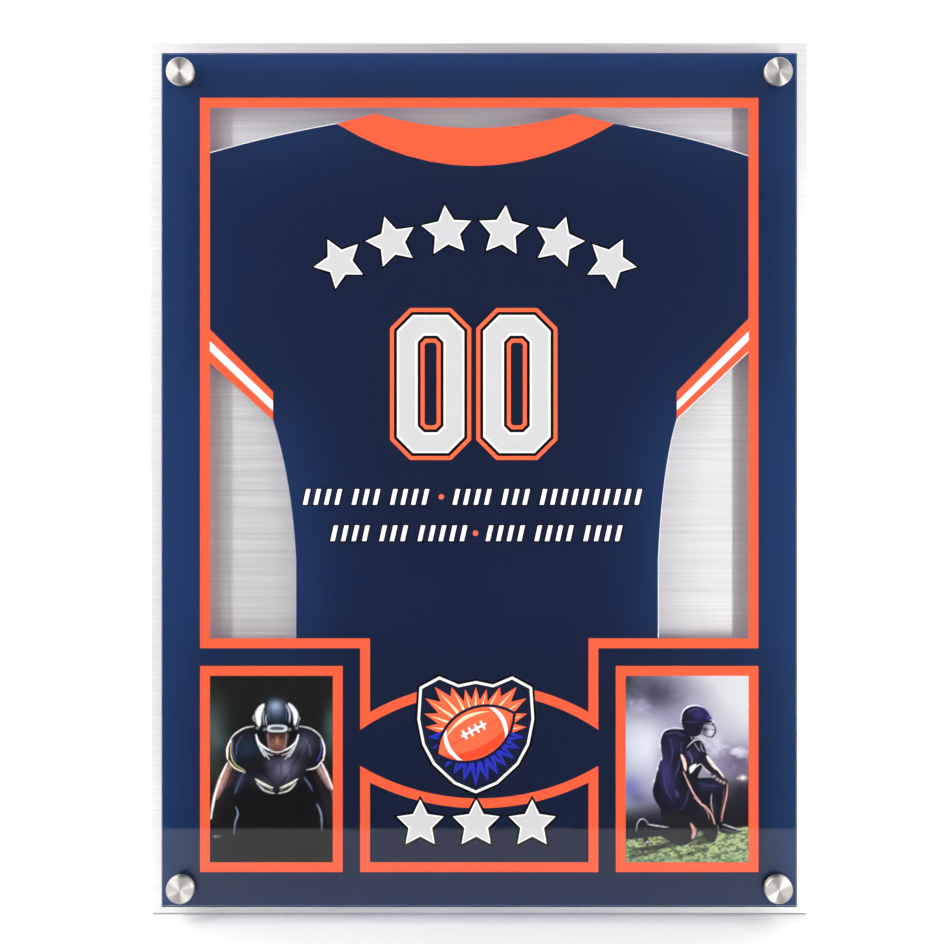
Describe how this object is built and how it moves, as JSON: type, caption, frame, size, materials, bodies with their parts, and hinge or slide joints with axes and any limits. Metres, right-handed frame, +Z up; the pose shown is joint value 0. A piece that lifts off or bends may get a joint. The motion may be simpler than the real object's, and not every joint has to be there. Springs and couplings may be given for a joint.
{
  "type": "jersey display plaque",
  "caption": "Wall plaque with a printed clear panel held off a brushed metal backer by turned corner standoffs, and keyhole hangers behind.",
  "frame": {"origin": "midway between the two keyhole entry holes of the hangers, on the wall plane", "axes": "+X to the viewer's right, +Z up; the front faces -Y, and +Y points into the wall"},
  "size_m": [0.458, 0.0326, 0.608],
  "materials": {
    "brushed_aluminium": "brushed along the width",
    "painted_aluminium": "matt grey primer",
    "plastic_core": "sawn edge",
    "clear_acrylic": "polished clear acrylic sheet",
    "navy_print": "printed film",
    "orange_print": "printed film",
    "white_print": "printed film",
    "picture_print": "printed film",
    "turned_steel": "fine turned rings",
    "zinc_steel": "zinc plated",
    "clear_rubber": "frosted clear",
    "adhesive_foam": "closed-cell foam"
  },
  "bodies": {
    "plaque": {"backer_front_skin": "brushed_aluminium", "backer_core": "plastic_core", "backer_rear_skin": "painted_aluminium", "clear_panel": "clear_acrylic", "print_navy": "navy_print", "print_orange": "orange_print", "print_white": "white_print", "print_picture_left": "picture_print", "print_picture_right": "picture_print", "standoff_barrel_top_left": "turned_steel", "standoff_barrel_top_right": "turned_steel", "standoff_barrel_bottom_left": "turned_steel", "standoff_barrel_bottom_right": "turned_steel", "rear_screw_top_left": "zinc_steel", "rear_screw_top_right": "zinc_steel", "rear_screw_bottom_left": "zinc_steel", "rear_screw_bottom_right": "zinc_steel", "rear_washer_top_left": "clear_rubber", "rear_washer_top_right": "clear_rubber", "rear_washer_bottom_left": "clear_rubber", "rear_washer_bottom_right": "clear_rubber", "wall_bumper_top_left": "clear_rubber", "wall_bumper_top_right": "clear_rubber", "wall_bumper_bottom_left": "clear_rubber", "wall_bumper_bottom_right": "clear_rubber", "hanger_plate_left": "zinc_steel", "hanger_plate_right": "zinc_steel", "hanger_pad_left": "adhesive_foam", "hanger_pad_right": "adhesive_foam"},
    "washer_top_left": {"front_washer_top_left": "clear_rubber"},
    "cap_top_left": {"standoff_cap_top_left": "turned_steel", "cap_stud_top_left": "zinc_steel"},
    "washer_top_right": {"front_washer_top_right": "clear_rubber"},
    "cap_top_right": {"standoff_cap_top_right": "turned_steel", "cap_stud_top_right": "zinc_steel"},
    "washer_bottom_left": {"front_washer_bottom_left": "clear_rubber"},
    "cap_bottom_left": {"standoff_cap_bottom_left": "turned_steel", "cap_stud_bottom_left": "zinc_steel"},
    "washer_bottom_right": {"front_washer_bottom_right": "clear_rubber"},
    "cap_bottom_right": {"standoff_cap_bottom_right": "turned_steel", "cap_stud_bottom_right": "zinc_steel"}
  },
  "joints": [
    {"name": "cap_travel_top_left", "type": "slide", "parent": "plaque", "child": "washer_top_left", "axis": [0, -1, 0], "range_m": [0, 0.005]},
    {"name": "cap_turn_top_left", "type": "hinge", "parent": "washer_top_left", "child": "cap_top_left", "pos_m": [-0.2045, -0.0326, 0.0795], "axis": [0, -1, 0], "range_deg": [0, 1800]},
    {"name": "cap_travel_top_right", "type": "slide", "parent": "plaque", "child": "washer_top_right", "axis": [0, -1, 0], "range_m": [0, 0.005]},
    {"name": "cap_turn_top_right", "type": "hinge", "parent": "washer_top_right", "child": "cap_top_right", "pos_m": [0.2045, -0.0326, 0.0795], "axis": [0, -1, 0], "range_deg": [0, 1800]},
    {"name": "cap_travel_bottom_left", "type": "slide", "parent": "plaque", "child": "washer_bottom_left", "axis": [0, -1, 0], "range_m": [0, 0.005]},
    {"name": "cap_turn_bottom_left", "type": "hinge", "parent": "washer_bottom_left", "child": "cap_bottom_left", "pos_m": [-0.2045, -0.0326, -0.4795], "axis": [0, -1, 0], "range_deg": [0, 1800]},
    {"name": "cap_travel_bottom_right", "type": "slide", "parent": "plaque", "child": "washer_bottom_right", "axis": [0, -1, 0], "range_m": [0, 0.005]},
    {"name": "cap_turn_bottom_right", "type": "hinge", "parent": "washer_bottom_right", "child": "cap_bottom_right", "pos_m": [0.2045, -0.0326, -0.4795], "axis": [0, -1, 0], "range_deg": [0, 1800]}
  ],
  "couplings": [
    {"joint": "cap_travel_top_left", "follows": "cap_turn_top_left", "m_per_rad": 0.00015915},
    {"joint": "cap_travel_top_right", "follows": "cap_turn_top_right", "m_per_rad": 0.00015915},
    {"joint": "cap_travel_bottom_left", "follows": "cap_turn_bottom_left", "m_per_rad": 0.00015915},
    {"joint": "cap_travel_bottom_right", "follows": "cap_turn_bottom_right", "m_per_rad": 0.00015915}
  ]
}
